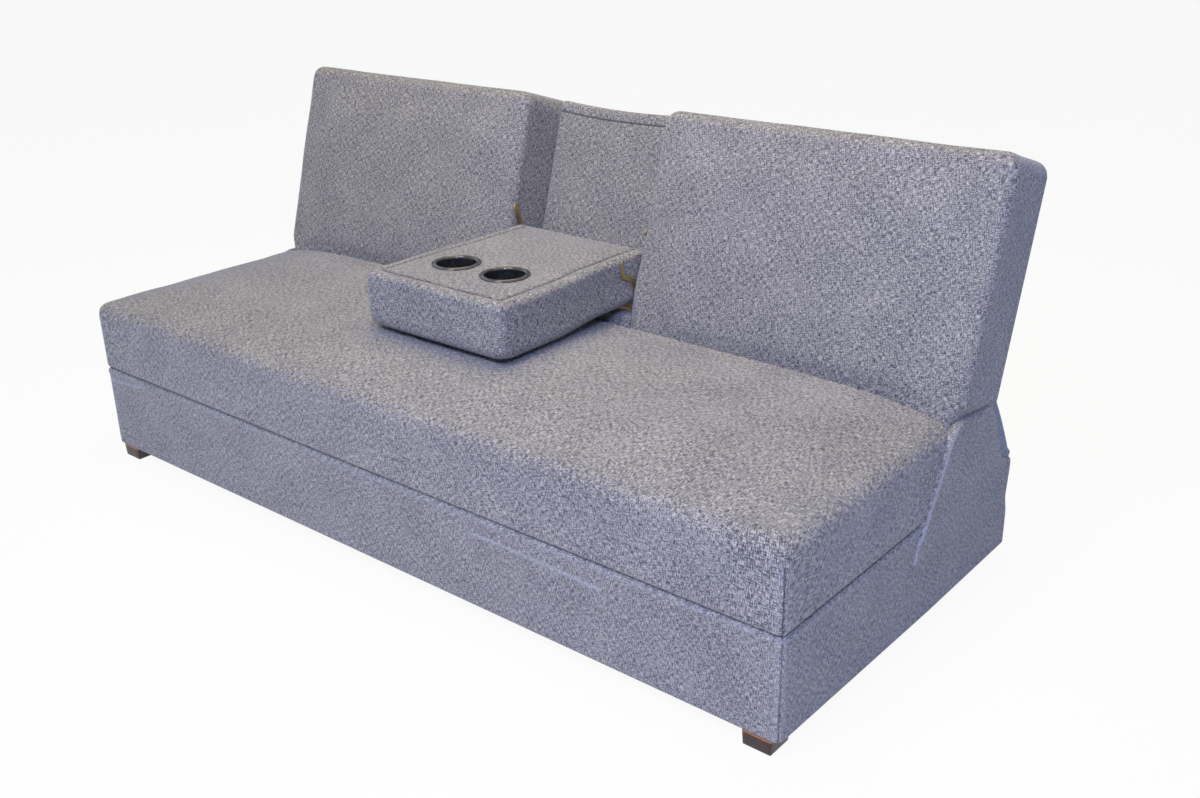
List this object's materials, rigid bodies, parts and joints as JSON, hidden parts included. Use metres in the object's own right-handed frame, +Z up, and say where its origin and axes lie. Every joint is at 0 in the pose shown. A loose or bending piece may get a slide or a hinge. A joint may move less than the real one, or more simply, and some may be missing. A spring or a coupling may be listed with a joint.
{
  "type": "reclining sofa with fold-down console",
  "caption": "Fabric sofa on a box base, its split back reclining flat to a bed, with a padded cup-holder console that folds up into the recess between the back cushions.",
  "frame": {"origin": "floor level, at the middle of the sofa's length and depth, with the back upright and the console down", "axes": "+X along the sofa to the viewer's right, +Y from the seat's front to the back, +Z up"},
  "size_m": [1.916, 0.8594, 0.8433],
  "materials": {
    "upholstery": "heathered grey linen weave",
    "lining": "thin dark grey cloth",
    "webbing": "elastic webbing",
    "frame_wood": "raw board",
    "slat_wood": "bent plywood",
    "foot_wood": "dark stained",
    "mechanism_steel": "zinc plated",
    "strap_metal": "yellow passivated",
    "cup_plastic": "glossy black",
    "cap_plastic": "matte black"
  },
  "bodies": {
    "base": {"base_front_board": "frame_wood", "base_rear_board": "frame_wood", "base_side_board_left": "frame_wood", "base_side_board_right": "frame_wood", "base_corner_posts": "frame_wood", "base_cross_rails": "frame_wood", "base_seat_beam": "frame_wood", "base_bottom_panel": "frame_wood", "base_cover_front": "upholstery", "base_cover_rear": "upholstery", "base_cover_left": "upholstery", "base_cover_right": "upholstery", "feet": "foot_wood", "foot_bolts": "mechanism_steel", "wing_board_left": "frame_wood", "wing_board_right": "frame_wood", "wing_pad_left": "upholstery", "wing_pad_right": "upholstery", "wing_screws": "mechanism_steel", "recline_bracket_left": "mechanism_steel", "recline_bracket_right": "mechanism_steel", "recline_pins": "mechanism_steel", "ratchet_pawls": "mechanism_steel", "pawl_pins": "mechanism_steel", "seat_front_rail": "frame_wood", "seat_rear_rail": "frame_wood", "seat_cross_rails": "frame_wood", "seat_slats": "slat_wood", "slat_caps": "cap_plastic", "seat_bolts": "mechanism_steel", "seat_cushion": "upholstery", "rear_flap": "lining"},
    "back": {"back_top_rail": "frame_wood", "back_bottom_rail": "frame_wood", "back_end_board_left": "frame_wood", "back_end_board_right": "frame_wood", "back_inner_board_left": "frame_wood", "back_inner_board_right": "frame_wood", "back_webbing": "webbing", "back_cushion_left": "upholstery", "back_cushion_right": "upholstery", "centre_panel": "upholstery", "centre_bolster": "upholstery", "back_rear_cover": "upholstery", "recline_arm_left": "mechanism_steel", "recline_arm_right": "mechanism_steel", "ratchet_wheel_left": "mechanism_steel", "ratchet_wheel_right": "mechanism_steel", "arm_bolts": "mechanism_steel", "back_strap_left": "strap_metal", "back_strap_right": "strap_metal", "strap_bolts": "strap_metal"},
    "console": {"console_board": "frame_wood", "console_cheeks": "frame_wood", "console_pad": "upholstery", "cup_holder_left": "cup_plastic", "cup_holder_right": "cup_plastic", "console_strap_left": "strap_metal", "console_strap_right": "strap_metal", "console_pins": "strap_metal"}
  },
  "joints": [
    {"name": "back_recline", "type": "hinge", "parent": "base", "child": "back", "pos_m": [0, 0.19134, 0.341], "axis": [-1, 0, 0], "range_deg": [0, 73], "deforming": ["rear_flap"]},
    {"name": "console_fold", "type": "hinge", "parent": "back", "child": "console", "pos_m": [0, 0.18383, 0.4705], "axis": [-1, 0, 0], "range_deg": [0, 107]}
  ]
}
